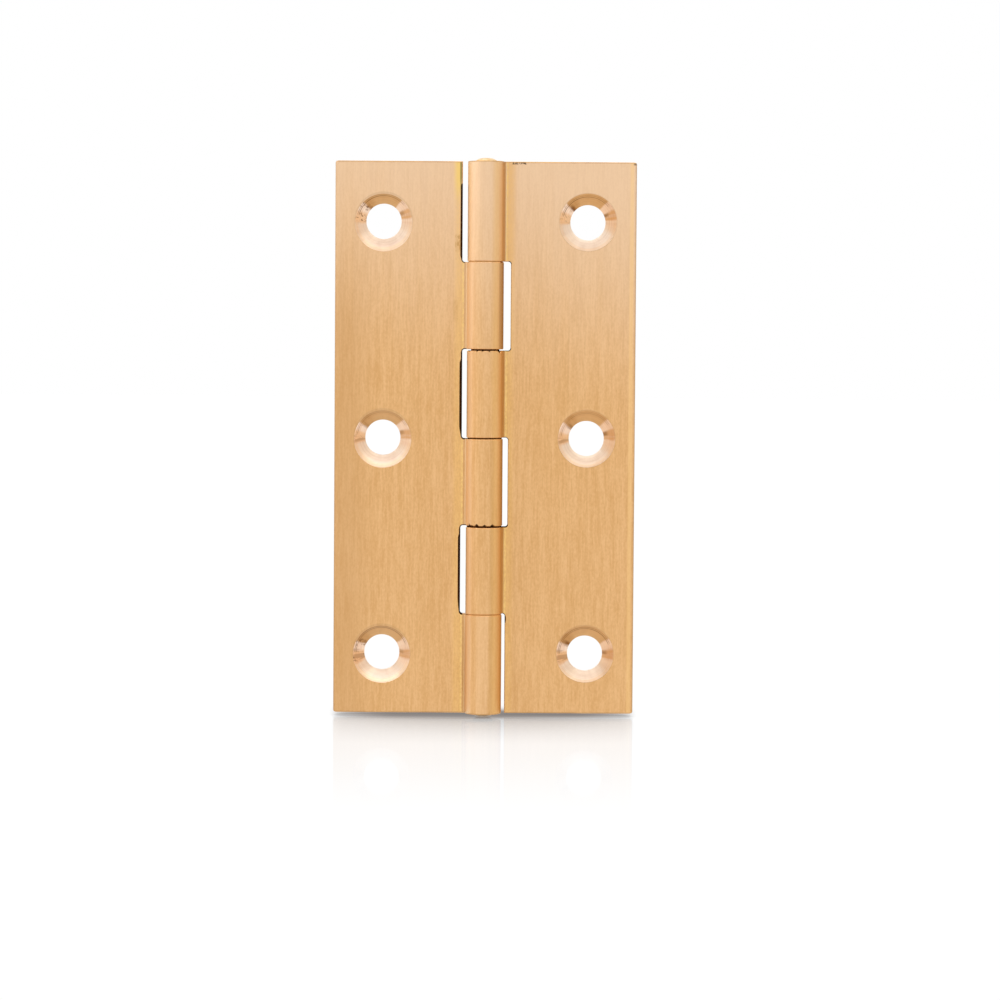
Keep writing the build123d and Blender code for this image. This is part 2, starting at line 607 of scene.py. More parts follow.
    def sink(self, place: Pair) -> Object:
        """A countersunk hole as a cutter: a stepped profile turned about a line along y.

        From the seat to the front face, its middle drifts along z by a share of the way.

        Args:
            place: the hole's x and z.

        Returns:
            The cutter.
        """
        size = self.sizes
        hole, mouth, front, back = size.hole_radius, size.sink_radius, size.front, size.back
        seat = front + size.sink_depth
        profile = np.array(
            [
                [hole + 0.36, back + 0.3],
                [hole + 0.06, back],
                [hole + 0.015, back - 0.025],
                [hole, back - 0.06],
                [hole, seat + 0.04],
                [hole + 0.012, seat + 0.01],
                [hole + 0.04, seat - 0.03],
                [mouth - 0.45, front + 0.47],
                [mouth - 0.40, front + 0.40],
                [mouth - 0.03, front + 0.06],
                [mouth, front],
                [mouth + 0.06, front - 0.15],
                [mouth + 0.3, front - 0.5],
            ]
        )
        radius, y = profile.T[:, :, None]
        drift = self.sink_drift * np.clip((seat - y) / size.sink_depth, 0.0, self.drift_end)
        across, up = circles(radius, self.sink_sides)
        return closed_surface("sink", place[0] + across, y, place[1] + drift + up, Surface.TURNED)

    def bore(self) -> Object:
        """The pin's hole as a cutter."""
        size = self.sizes
        beyond = size.half_length + size.overrun
        return self.round_bar("bore", size.bore_radius, self.bore_sides, (-beyond, beyond), Surface.TARNISHED)

    def bearing(self, index: int) -> Object:
        """The low round face on top of a knuckle that the knuckle above rests on.

        Args:
            index: the knuckle, counted from the top.

        Returns:
            A disc to be joined to the knuckle.
        """
        size = self.sizes
        top = size.knuckle_spans()[index][1]
        gap = index - 1
        ends = (top - self.bearing_root * size.edge_break, top + size.knuckle_gaps[gap] - size.bearing_play)
        radius = size.bearing_radii[gap]
        return self.round_bar("bearing", radius, self.bearing_sides, ends, size.gap_surface(gap))

    def round_bar(self, name: str, radius: float, sides: int, ends: Pair, kind: Surface) -> Object:
        """A circle carried along z.

        Args:
            name: the solid's name.
            radius: the circle's radius.
            sides: how many points it has.
            ends: the z of its two ends.
            kind: the kind of surface that its faces are.

        Returns:
            The solid.
        """
        circle = arc((0.0, 0.0), radius, 0.0, 360.0 - 360.0 / sides, sides)
        return closed_surface(name, circle[:, 0], circle[:, 1], np.array(ends)[:, None], kind)

    def rim(self, index: int, facing: int) -> Object:
        """The ease of a knuckle's rim as a cutter: a three-sided profile carried round the bead.

        It bites deeper at each tooth mark, as a bell curve of the distance from the mark, and it moves out
        of the metal at both ends of its way round.

        Args:
            index: the knuckle, counted from the top.
            facing: +1 for its top end and -1 for its bottom end.

        Returns:
            The cutter.
        """
        size = self.sizes
        height = size.knuckle_spans()[index][max(facing, 0)]
        angle = np.radians(np.linspace(*self.rim_way, self.rim_points))
        from_ends = np.minimum(angle[0] - angle, angle - angle[-1])
        clear = 1.0 - smooth_step(from_ends, 0.0, math.radians(self.rim_runout))
        x_front = np.where(np.sin(angle) < 0.0, size.knuckle_radius * np.cos(angle), np.inf)
        rise = np.full_like(angle, self.rim_bite)
        bite = np.full_like(angle, self.rim_bite)
        for nick in self.nicks.get((index, facing), ()):
            bell = np.exp(-(((x_front - self.side * nick.x) / nick.width) ** 2))
            rise += nick.height * bell
            bite += self.nick_pull * nick.height * bell
        shift = clear * (self.rim_in * bite + self.rim_clearance)
        radius = size.knuckle_radius + shift
        inner, outer = radius - self.rim_in * bite, radius + self.rim_out * bite
        above, below = height + facing * self.rim_out * rise, height - facing * self.rim_in * rise
        reach = columns(inner, outer, outer)
        x = reach * np.cos(angle)[:, None]
        y = reach * np.sin(angle)[:, None]
        return closed_surface("rim", x, y, columns(above, below, above))

    def build(self) -> Object:
        """Cuts the leaf from its blank and brings it to its side of the pin, in metres.

        Returns:
            The finished leaf without materials.
        """
        size = self.sizes
        count = len(size.slot_clearances)
        owned = range(self.first_knuckle, count, 2)
        piece = self.blank()
        steps = [(Step.CUT, self.slot(index)) for index in range(1 - self.first_knuckle, count, 2)]
        steps += [(Step.JOIN, self.bearing(index)) for index in owned if index]
        steps += [(Step.CUT, self.rim(index, 1)) for index in owned if index]
        steps += [(Step.CUT, self.rim(index, -1)) for index in owned if index < count - 1]
        steps.append((Step.CUT, self.bore()))
        steps += [(Step.CUT, self.sink(place)) for place in size.hole_places]
        carve(piece, steps)
        turn_faces_outward(piece.data)
        piece.data.transform(Matrix.Diagonal((float(self.side), 1.0, 1.0, 1.0)))
        turn_faces_outward(piece.data)
        self.lay_grain(piece.data)
        piece.data.transform(Matrix.Scale(METRES_PER_MM, 4))
        shade(piece, LEAF_CREASE)
        return piece

    def lay_grain(self, mesh: Mesh) -> None:
        """Gives each face a flat UV layout whose U runs across the tool marks that it carries.

        Across is level round the hinge on brushed and sawn faces, and away from the hole's middle on
        turned ones. U and V are a corner's place along that direction and the one square to it.

        Args:
            mesh: the leaf's mesh, in millimetres.
        """
        normal = read_vectors(mesh.polygons, "normal")
        centre = read_vectors(mesh.polygons, "center")
        holes = np.array([(self.side * x, z) for x, z in self.sizes.hole_places])
        away = centre[:, None, [0, 2]] - holes
        nearest = np.argmin((away**2).sum(axis=2), axis=1)
        away = away[np.arange(len(centre)), nearest]
        level = np.cross([0.0, 0.0, 1.0], normal)
        level[np.abs(normal[:, 2]) > NEAR_LEVEL] = [1.0, 0.0, 0.0]
        turned_faces = read_numbers(mesh.polygons, "material_index") == Surface.TURNED
        across = np.where(turned_faces[:, None], columns(away[:, 0], 0.0, away[:, 1]), level)
        across -= normal * (across * normal).sum(axis=1, keepdims=True)
        across /= np.maximum(np.linalg.norm(across, axis=1, keepdims=True), TINY)
        along = np.cross(normal, across)
        points = read_vectors(mesh.vertices, "co")[read_numbers(mesh.loops, "vertex_index")]
        face = np.repeat(np.arange(len(centre)), read_numbers(mesh.polygons, "loop_total"))
        layout = columns((points * across[face]).sum(axis=1), (points * along[face]).sum(axis=1))
        mesh.uv_layers.new(name=GRAIN_MAP)
        flat = (GRAIN_MAP_SCALE * layout).astype(np.float32).ravel()
        mesh.uv_layers[GRAIN_MAP].data.foreach_set("uv", flat)

    def dress(self, piece: Object, finishes: dict[Surface, Material]) -> None:
        """Gives each kind of surface its material, and the piece its place in the frame."""
        for surface in Surface:
            piece.data.materials[surface] = finishes[surface]
        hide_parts(self.name)
        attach(piece, {Side.LEFT: "frame_leaf", Side.RIGHT: "door_leaf"}[self.side])


def quarter_round(distance: np.ndarray, radius: float) -> np.ndarray:
    """How far an edge rounded by a quarter circle stands back, at a distance from its end."""
    inside = np.clip(radius - distance, 0.0, radius)
    return radius - np.sqrt(radius**2 - inside**2)


def flare(depth: np.ndarray, radius: float) -> np.ndarray:
    """How far a cutter's mouth widens: a quarter round inside the metal, and one for one outside it."""
    outside = np.clip(-depth, 0.0, MOUTH_REACH)
    return quarter_round(np.clip(depth, 0.0, radius), radius) + outside


def circles(radius: np.ndarray, count: int) -> tuple[np.ndarray, np.ndarray]:
    """The two coordinates of so many points on each circle of the radii, which stand in a column."""
    turn = np.linspace(0.0, 2.0 * np.pi, count, endpoint=False)
    return radius * np.cos(turn), radius * np.sin(turn)


@dataclass
class HingePin:
    """The rod through all the knuckles, with its two ends peened into low domes, in millimetres."""

    sizes: HingeSizes
    head_spread: float = 0.15
    head_rim: float = 0.1
    end_play: float = 0.02
    dent: float = 0.02
    dent_cells: Pair = (3.1, 2.7)
    dent_shifts: Pair = (0.8, -0.5)
    fullness: float = 3.2
    dome_rings: int = 12
    sides: int = 64

    def build(self) -> Object:
        """Turns half of the rod's lengthwise section about z.

        The dome's height over its rim is one less a power of the distance from the axis, and small
        hammer marks take a little off it, as a product of two cosines.

        Returns:
            The finished pin without materials, in metres.
        """
        size = self.sizes
        seat = size.half_length + self.end_play
        rim = seat + self.head_rim
        head = size.pin_radius + self.head_spread
        share = np.linspace(1.0, 0.0, self.dome_rings)[1:-1]
        dome = rim + (size.crown - rim) * (1.0 - share**self.fullness)
        radius = np.concatenate([[size.pin_radius, head, head], head * share])
        height = np.concatenate([[seat, seat, rim], dome])
        radius = np.concatenate([radius[::-1], radius])[:, None]
        height = np.concatenate([-height[::-1], height])[:, None]
        x, y = circles(radius, self.sides)
        waves = (
            np.cos(cells * place + shift)
            for cells, place, shift in zip(self.dent_cells, (x, y), self.dent_shifts)
        )
        marks = 0.5 + 0.5 * math.prod(waves)
        z = height - np.sign(height) * self.dent * marks * (np.abs(height) > rim)
        piece = closed_surface("hinge_pin", x, y, z)
        piece.data.transform(Matrix.Scale(METRES_PER_MM, 4))
        shade(piece, PIN_CREASE)
        return piece

    def dress(self, piece: Object, finish: Material) -> None:
        """Gives the pin its material and its place in the frame."""
        piece.data.materials.clear()
        piece.data.materials.append(finish)
        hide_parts("hinge_pin")
        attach(piece, "frame_leaf")


class NodeDraft:
    """Adds nodes to one tree and links them in few words."""

    def __init__(self, tree: NodeTree) -> None:
        """Keeps the tree that the nodes go into."""
        self.tree = tree

    def add(self, kind: str, inputs: dict | None = None, **settings) -> Node:
        """Adds a node.

        Args:
            kind: the node's type name, without the leading ShaderNode.
            inputs: values or signals by the input's name or number.
            settings: the node's own properties.

        Returns:
            The node.
        """
        node = self.tree.nodes.new(f"ShaderNode{kind}")
        for name, value in settings.items():
            setattr(node, name, value)
        self.feed(node, inputs or {})
        return node

    def feed(self, node: Node, inputs: dict) -> None:
        """Links signals to a node's inputs, or sets the inputs' own values."""
        for key, value in inputs.items():
            if isinstance(value, Signal):
                self.tree.links.new(value.socket, node.inputs[key])
            else:
                node.inputs[key].default_value = value

    def read(self, kind: str, inputs: dict | None = None, output: str | int = 0, **settings) -> Signal:
        """Adds a node, as add does, and gives one of its outputs."""
        return Signal(self, self.add(kind, inputs, **settings).outputs[output])

    def outputs(self, node: Node) -> dict[str, Signal]:
        """A node's outputs by name."""
        return {socket.name: Signal(self, socket) for socket in node.outputs}

    def group(self, tree: NodeTree, inputs: dict) -> dict[str, Signal]:
        """Places a node group and gives its outputs by name."""
        return self.outputs(self.add("Group", inputs, node_tree=tree))

    def blend(self, share: Value, first: Value, second: Value) -> Signal:
        """Mixes two colours."""
        return self.read("Mix", {0: share, 6: first, 7: second}, 2, data_type="RGBA")

    def combine(self, *parts: Value) -> Signal:
        """The vector of three values."""
        return self.read("CombineXYZ", dict(enumerate(parts)))

    def rays(self) -> tuple[Signal, Signal]:
        """Masks of the rays that see the surface, straight on or through a body, and of the diffuse ones."""
        path = self.outputs(self.add("LightPath"))
        return path["Is Camera Ray"].most(path["Is Transmission Ray"]), path["Is Diffuse Ray"]


@dataclass(frozen=True)
class Signal:
    """A node's output that is reckoned with like a number, where each step adds one node."""

    draft: NodeDraft
    socket: NodeSocket

    def math(self, operation: str, other: Value = 0.0) -> Signal:
        """One sum on this value, which comes first, and another."""
        return self.draft.read("Math", {0: self, 1: other}, operation=operation)

    def math_after(self, operation: str, other: Value) -> Signal:
        """One sum on another value, which comes first, and this one."""
        return self.draft.read("Math", {0: other, 1: self}, operation=operation)

    __abs__ = partialmethod(math, "ABSOLUTE")
    __add__ = partialmethod(math, "ADD")
    __sub__ = partialmethod(math, "SUBTRACT")
    __mul__ = partialmethod(math, "MULTIPLY")
    __truediv__ = partialmethod(math, "DIVIDE")
    __rsub__ = partialmethod(math_after, "SUBTRACT")
    __rtruediv__ = partialmethod(math_after, "DIVIDE")
    most = partialmethod(math, "MAXIMUM")
    least = partialmethod(math, "MINIMUM")

    def ramp(self, low: float, high: float, start: float = 0.0, end: float = 1.0) -> Signal:
        """Goes smoothly from start, where the value is low, to end, where it is high."""
        inputs = {0: self, 1: low, 2: high, 3: start, 4: end}
        return self.draft.read("MapRange", inputs, interpolation_type="SMOOTHSTEP")

    def band(self, edges: Edges) -> Signal:
        """A mask that rises from the first edge to the second and falls from the third to the fourth."""
        return self.ramp(edges[0], edges[1]) * self.ramp(edges[2], edges[3], 1.0, 0.0)

    def broken(self, low: float, high: float, share: float) -> Signal:
        """A mask that is 1, but for gaps of that share where the value is low."""
        return self.ramp(low, high, 1.0 - share, 1.0)

    def split(self) -> list[Signal]:
        """The x, y and z of a vector."""
        return list(self.draft.outputs(self.draft.add("SeparateXYZ", {0: self})).values())

    def scaled(self, factors: tuple) -> Signal:
        """A vector with each part multiplied by its own factor."""
        return self.draft.read("VectorMath", {0: self, 1: factors}, operation="MULTIPLY")

    def noise(self, stretch: tuple, detail: float = 2.0) -> Signal:
        """Noise between 0 and 1 over a vector, with so many cells for each unit along each axis."""
        inputs = {"Vector": self.scaled(stretch), "Scale": 1.0, "Detail": detail, "Roughness": 0.55}
        return self.draft.read("TexNoise", inputs)


Value = float | tuple | Signal


def new_group(name: str, inputs: dict[str, str], outputs: tuple[str, ...]) -> tuple:
    """Makes an empty node group.

    Args:
        name: the group's name.
        inputs: socket type by name.
        outputs: the names of the values that it gives.

    Returns:
        The tree, a draft for it, its inputs' signals by name and its output node.
    """
    tree = bpy.data.node_groups.new(name, "ShaderNodeTree")
    for label, kind in inputs.items():
        tree.interface.new_socket(label, in_out="INPUT", socket_type=f"NodeSocket{kind}")
    for label in outputs:
        tree.interface.new_socket(label, in_out="OUTPUT", socket_type="NodeSocketFloat")
    draft = NodeDraft(tree)
    entry = draft.outputs(tree.nodes.new("NodeGroupInput"))
    return tree, draft, entry, tree.nodes.new("NodeGroupOutput")


class SurfaceEffects:
    """The effects that several finishes share, each a node group."""

    STRANDS = {
        "Soft": ((0.9, 0.9, 0.02), 2.0),
        "Strands": ((1.3, 1.3, 0.08), 4.0),
        "Hair": ((4.4, 4.4, 0.32), 3.0),
        "Fine": ((4.6, 4.6, 2.4), 2.0),
    }

    def __init__(self, sizes: HingeSizes) -> None:
        """Builds the groups for a hinge of these sizes."""
        self.sizes = sizes
        self.brushing = self.make_brushing()
        self.holes = self.make_holes()
        self.borders = self.make_borders()

    def make_brushing(self) -> NodeTree:
        """Strands along z. Soft is broad and faint, Strands and Hair are ever finer, Fine is short flecks."""
        tree, draft, entry, leave = new_group("Brushing", {"Place": "Vector"}, tuple(self.STRANDS))
        strands = {name: entry["Place"].noise(*cells) for name, cells in self.STRANDS.items()}
        draft.feed(leave, strands)
        return tree

    def make_holes(self) -> NodeTree:
        """How far a point is from the middle of the nearest screw hole, and at what angle round it."""
        tree, draft, entry, leave = new_group("Round a screw hole", {"Place": "Vector"}, ("Radius", "Angle"))
        x, _, z = entry["Place"].split()
        (hole_x, first), (_, second) = self.sizes.hole_places[:2]
        half = abs(second - first) / 2
        dx = (abs(x) - hole_x) * x.math("SIGN")
        dz = draft.read("Math", {0: z, 1: half, 2: -half}, operation="WRAP")
        radius = (dx * dx + dz * dz).math("SQRT")
        draft.feed(leave, {"Radius": radius, "Angle": dz.math("ARCTAN2", dx)})
        return tree

    def make_borders(self) -> NodeTree:
        """A mask that is 1 on a leaf's sawn ends and outer edge and fades over Width, unevenly."""
        tree, draft, entry, leave = new_group("Borders", {"Place": "Vector", "Width": "Float"}, ("Mask",))
        x, _, z = entry["Place"].split()
        near = (self.sizes.reach - abs(x)).least(self.sizes.half_length - abs(z))
        rough = entry["Place"].noise((1.5, 1.5, 1.5))
        share = near / (entry["Width"] * (rough + 0.5))
        draft.feed(leave, {"Mask": share.ramp(0.0, 1.0, 1.0, 0.0)})
        return tree


def tone(red: int, green: int, blue: int) -> Colour:
    """The linear colour of three display values from 0 to 255."""
    display = np.array([red, green, blue]) / 255.0
    linear = np.where(display <= 0.04045, display / 12.92, ((display + 0.055) / 1.055) ** 2.4)
    return (*(float(value) for value in linear), 1.0)


@dataclass(frozen=True)
class BrassFinish:
    """A brass surface: its colours and gloss. Each kind of surface adds its own tool marks."""

    name: str
    dark: Colour
    light: Colour
    roughness: float
    anisotropic: float = 0.0
    coat: float = 0.0
    metallic: float = 1.0
    specular: float = 0.5
    coat_roughness: float = 0.3

    def start(self) -> tuple[Material, NodeDraft, Node, Signal]:
        """Begins a material.

        Returns:
            The material, a draft for its tree, its shader and the place in millimetres.
        """
        material = bpy.data.materials.new(self.name)
        material.use_nodes = True
        draft = NodeDraft(material.node_tree)
        shader = material.node_tree.nodes["Principled BSDF"]
        gloss = {
            "Metallic": self.metallic,
            "Specular IOR Level": self.specular,
            "Roughness": self.roughness,
            "Anisotropic": self.anisotropic,
            "Coat Weight": self.coat,
            "Coat Roughness": self.coat_roughness,
        }
        draft.feed(shader, gloss)
        if self.anisotropic:
            draft.feed(shader, {"Tangent": draft.read("Tangent", direction_type="UV_MAP", uv_map=GRAIN_MAP)})
        place = draft.read("TexCoord", output="Object").scaled((MM_PER_METRE,) * 3)
        return material, draft, shader, place

    def finish(self, draft: NodeDraft, shader: Node, colour: Signal, height: Signal, depth: float) -> None:
        """Gives the shader its colour and a relief: the height, from 0 to 1, times the depth in mm."""
        relief = draft.read("Bump", {"Height": height, "Distance": depth * METRES_PER_MM, "Strength": 1.0})
        draft.feed(shader, {"Base Color": colour, "Normal": relief})


@dataclass(frozen=True)
class Tint:
    """A patch of another colour on the front: x and z where it starts, is full, starts to fade and ends."""

    colour: Colour
    share: float
    across: Edges
    along: Edges | None = None
    broken: float = 0.0


GOLD = tone(246, 198, 116)
# Colour of the painted shade in the creases.
CREASE_SHADE = tone(162, 108, 24)
# Colour of the painted highlight lines.
GLINT = tone(255, 216, 134)
# Colour of the brown specks, also used as painted shade on the knuckles.
SPECK_AND_SHADE = tone(70, 46, 24)
BARREL_BAND = tone(180, 130, 68)
FROM_BELOW = (-40.0, -39.0)
TO_TOP = (38.5, 39.0)
# Patches on the front. Several are painted shade in the creases and on the knuckles' right flanks, and
# several are painted highlights: glint lines at the roots, the lighter left flank and the right leaf's outer
# edge. The brown specks at the top and two patches near the slots are stains.
TINTS = (
    Tint(GOLD, 0.42, (-4.6, -3.8, -3.2, -2.95), broken=0.3),
    Tint(GOLD, 0.42, (2.75, 2.95, 3.3, 4.3), broken=0.3),
    # Painted shade: an olive tone on the barrel's right flank.
    Tint(tone(236, 184, 104), 0.45, (0.6, 1.5, 2.3, 2.5)),
    # Painted shade in the right crease between barrel and leaf.
    Tint(tone(176, 120, 10), 0.58, (2.08, 2.44, 2.66, 2.8)),
    # Painted shade on the right flanks of the second and fourth knuckles.
    Tint(SPECK_AND_SHADE, 0.28, (1.75, 2.0, 2.5, 2.6), (12.2, 12.3, 24.1, 24.2)),
    Tint(SPECK_AND_SHADE, 0.14, (1.9, 2.15, 2.5, 2.6), (-12.1, -12.0, -0.1, 0.0)),
    # Painted highlight: a glint line along the right root.
    Tint(GLINT, 0.7, (2.72, 2.82, 2.98, 3.1), broken=0.5),
    Tint(tone(228, 170, 90), 0.3, (2.8, 3.0, 3.5, 4.6), (18.0, 26.0, *TO_TOP)),
    # Painted light: the barrel's left flank is lighter.
    Tint(tone(250, 224, 186), 0.66, (-2.78, -2.6, -2.3, -1.5)),
    # Darker vertical bands along the barrel.
    Tint(BARREL_BAND, 0.15, (-1.7, -1.5, -1.35, -1.1), (*FROM_BELOW, 24.2, 24.3)),
    Tint(BARREL_BAND, 0.2, (0.65, 0.92, 1.15, 1.5), (*FROM_BELOW, -0.1, 0.0)),
    Tint(tone(248, 206, 160), 0.25, (-1.2, -0.9, 0.5, 0.75), (*FROM_BELOW, -24.4, -24.2)),
    # Painted shade in the left crease, deeper on the bottom knuckle.
    Tint(CREASE_SHADE, 0.25, (-2.98, -2.82, -2.62, -2.45)),
    Tint(CREASE_SHADE, 0.3, (-2.95, -2.75, -2.4, -2.2), (*FROM_BELOW, -30.0, -22.0)),
    # Painted highlight: a glint line along the left root.
    Tint(GLINT, 0.6, (-3.25, -3.15, -3.0, -2.9), broken=0.5),
    Tint(tone(206, 158, 104), 0.4, (-21.5, -21.0, -19.0, -14.0), (*FROM_BELOW, 12.0, 34.0)),
    Tint(tone(250, 212, 116), 0.75, (-4.7, -3.8, -3.5, -3.4), (31.5, 36.0, *TO_TOP)),
    Tint(tone(122, 112, 48), 0.8, (-3.66, -3.5, -3.0, -2.9), (33.0, 36.0, *TO_TOP)),
    Tint(SPECK_AND_SHADE, 0.9, (3.5, 3.7, 5.4, 5.6), (37.5, 37.7, *TO_TOP), 0.9),
    Tint(SPECK_AND_SHADE, 0.7, (20.1, 20.35, 21.5, 22.0), (37.5, 37.7, *TO_TOP)),
    Tint(tone(186, 134, 64), 0.6, (-4.35, -4.05, -3.5, -3.3), (25.4, 26.2, 27.6, 28.2), 0.8),
    Tint(tone(196, 146, 84), 0.4, (-4.6, -4.3, -3.9, -3.6), (15.8, 16.5, 18.6, 19.3), 0.8),
    # Painted highlight along the right leaf's outer edge.
    Tint(tone(252, 208, 142), 0.45, (19.7, 19.9, 20.25, 20.4)),
)


@dataclass(frozen=True)
class BrushedFinish(BrassFinish):
    """The faces and knuckles: brushed along the pin under a thin lacquer, with a few stains, and with painted
    shade and painted highlights along the knuckles and the right leaf's edge.
    """

    # Painted light: a lighter colour towards the top right.
    top_light: Colour = tone(245, 216, 186)
    top_light_share: float = 0.6
    # Darkens the ends, the outer edge and a ring round each sink's mouth: edge wear and painted shade.
    shade: Colour = tone(176, 138, 98)
    shade_share: float = 0.6
    border_width: float = 0.28
    ring_share: float = 0.4
    ring_radii: Pair = (3.97, 4.12)
    grain_shares: Triple = (0.3, 0.38, 0.32)
    contrast: Pair = (0.325, 0.675)
    gaps: Pair = (0.42, 0.58)
    # Where the painted light towards the top starts and ends, and how it wanders and slopes.
    top_light_heights: Pair = (7.0, 46.0)
    top_light_wander: float = 8.0
    top_light_slope: float = 0.2
    front_limit: float = 1.2
    front_ease: float = 0.3
    gloss_swing: float = 0.05
    gloss_range: Pair = (0.2, 0.8)
    depth: float = 0.006
    tints: tuple[Tint, ...] = TINTS

    def make(self, effects: SurfaceEffects) -> Material:
        """Builds the material.

        Painted light makes the metal lighter towards the top right, which the broad strands make uneven.

        Args:
            effects: the shared node groups.

        Returns:
            The material.
        """
        material, draft, shader, place = self.start()
        brushing = draft.group(effects.brushing, {"Place": place})
        borders = draft.group(effects.borders, {"Place": place, "Width": self.border_width})
        holes = draft.group(effects.holes, {"Place": place})
        names = ("Strands", "Hair", "Fine")
        strands, hair, fine = (brushing[name] * share for name, share in zip(names, self.grain_shares))
        grain = strands + (hair + fine)
        colour = draft.blend(grain.ramp(*self.contrast), self.dark, self.light)
        x, y, z = place.split()
        front = y.ramp(self.front_limit, self.front_limit + self.front_ease, 1.0, 0.0)
        upward = z + brushing["Soft"] * self.top_light_wander + x * self.top_light_slope
        # Painted light: lighter towards the top right.
        colour = draft.blend(upward.ramp(*self.top_light_heights) * self.top_light_share, colour, self.top_light)
        for tint in self.tints:
            mask = x.band(tint.across) * tint.share
            if tint.along:
                mask *= z.band(tint.along)
            if tint.broken:
                mask *= brushing["Fine"].broken(*self.gaps, tint.broken)
            colour = draft.blend(mask * front, colour, tint.colour)
        # Edge wear and painted shade at the ends, the outer edge and round each sink's mouth.
        ring = holes["Radius"].ramp(*self.ring_radii, 1.0, 0.0) * front
        edge_wear_and_shade = borders["Mask"].most(ring * self.ring_share)
        colour = draft.blend(edge_wear_and_shade * self.shade_share, colour, self.shade)
        worn, polished = self.roughness + self.gloss_swing, self.roughness - self.gloss_swing
        draft.feed(shader, {"Roughness": grain.ramp(*self.gloss_range, worn, polished)})
        self.finish(draft, shader, colour, grain, self.depth)
        return material


@dataclass(frozen=True)
class SawnFinish(BrassFinish):
    """Slot walls and knuckle ends: saw marks, gone brown where cloth and lacquer don't reach. Its near-black
    copy on slot walls, lips and gaps is also painted shade.
    """

    depth: float = 0.012
    mark_cells: Triple = (0.35, 5.0, 7.0)
    patch_cells: Triple = (0.3, 0.3, 0.3)
    patch_share: float = 0.25
    contrast: Pair = (0.34, 0.66)

    def make(self) -> Material:
        """Builds the material."""
        material, draft, shader, place = self.start()
        marks = place.noise(self.mark_cells, 3.0)
        patches = place.noise(self.patch_cells)
        mixed = marks * (1.0 - self.patch_share) + patches * self.patch_share
        colour = draft.blend(mixed.ramp(*self.contrast), self.dark, self.light)
        self.finish(draft, shader, colour, marks, self.depth)
        return material


@dataclass(frozen=True)
class Fan:
    """A patch of painted reflection round a countersink: a lighter or darker colour where the cone would
    mirror a brighter or darker part of the room.

    Its spans run anticlockwise from the right, in degrees, and its rings are millimetres from the middle.
    """

    colour: Colour
    left_share: float
    right_share: float
    spans: Spans
    soft: float = 4.0
    rings: Edges | None = None
    broken: float = 0.0


# Painted reflections round each countersink: lighter below, golden above, lighter wedges at the upper sides
# and darker spots beside them.
REFLECTION_FANS = (
    Fan(tone(248, 235, 218), 0.75, 0.75, ((-150.0, -18.0),), 8.0),
    Fan(tone(226, 210, 196), 0.55, 0.25, ((-112.0, -62.0),), 18.0),
    Fan(tone(236, 214, 198), 0.45, 0.1, ((-122.0, -52.0),), 12.0, (2.9, 3.3, 3.9, 4.1)),
    Fan(tone(248, 232, 211), 0.7, 0.85, ((-168.0, -118.0),), 8.0),
    Fan(tone(246, 200, 144), 0.75, 0.85, ((166.0, 206.0), (-204.0, -166.0)), 5.0, broken=0.2),
    Fan(tone(246, 206, 170), 0.6, 0.8, ((16.0, 46.0),), 4.0),
    Fan(tone(240, 205, 166), 0.35, 0.62, ((-32.0, 4.0),), 8.0),
    Fan(tone(224, 168, 104), 0.82, 0.85, ((-3.0, 19.0),), 4.0, broken=0.3),
    Fan(tone(213, 165, 107), 0.96, 0.96, ((42.0, 146.0),), 3.0),
    Fan(tone(116, 70, 24), 0.4, 0.6, ((8.0, 20.0),), 4.0, (2.2, 2.3, 2.7, 3.3), 0.6),
    Fan(tone(120, 70, 22), 0.5, 0.9, ((137.0, 150.0),), 4.0, (2.2, 2.3, 2.8, 3.7), 0.5),
    Fan(tone(176, 122, 58), 0.35, 0.45, ((120.0, 140.0),), 10.0, broken=0.6),
)


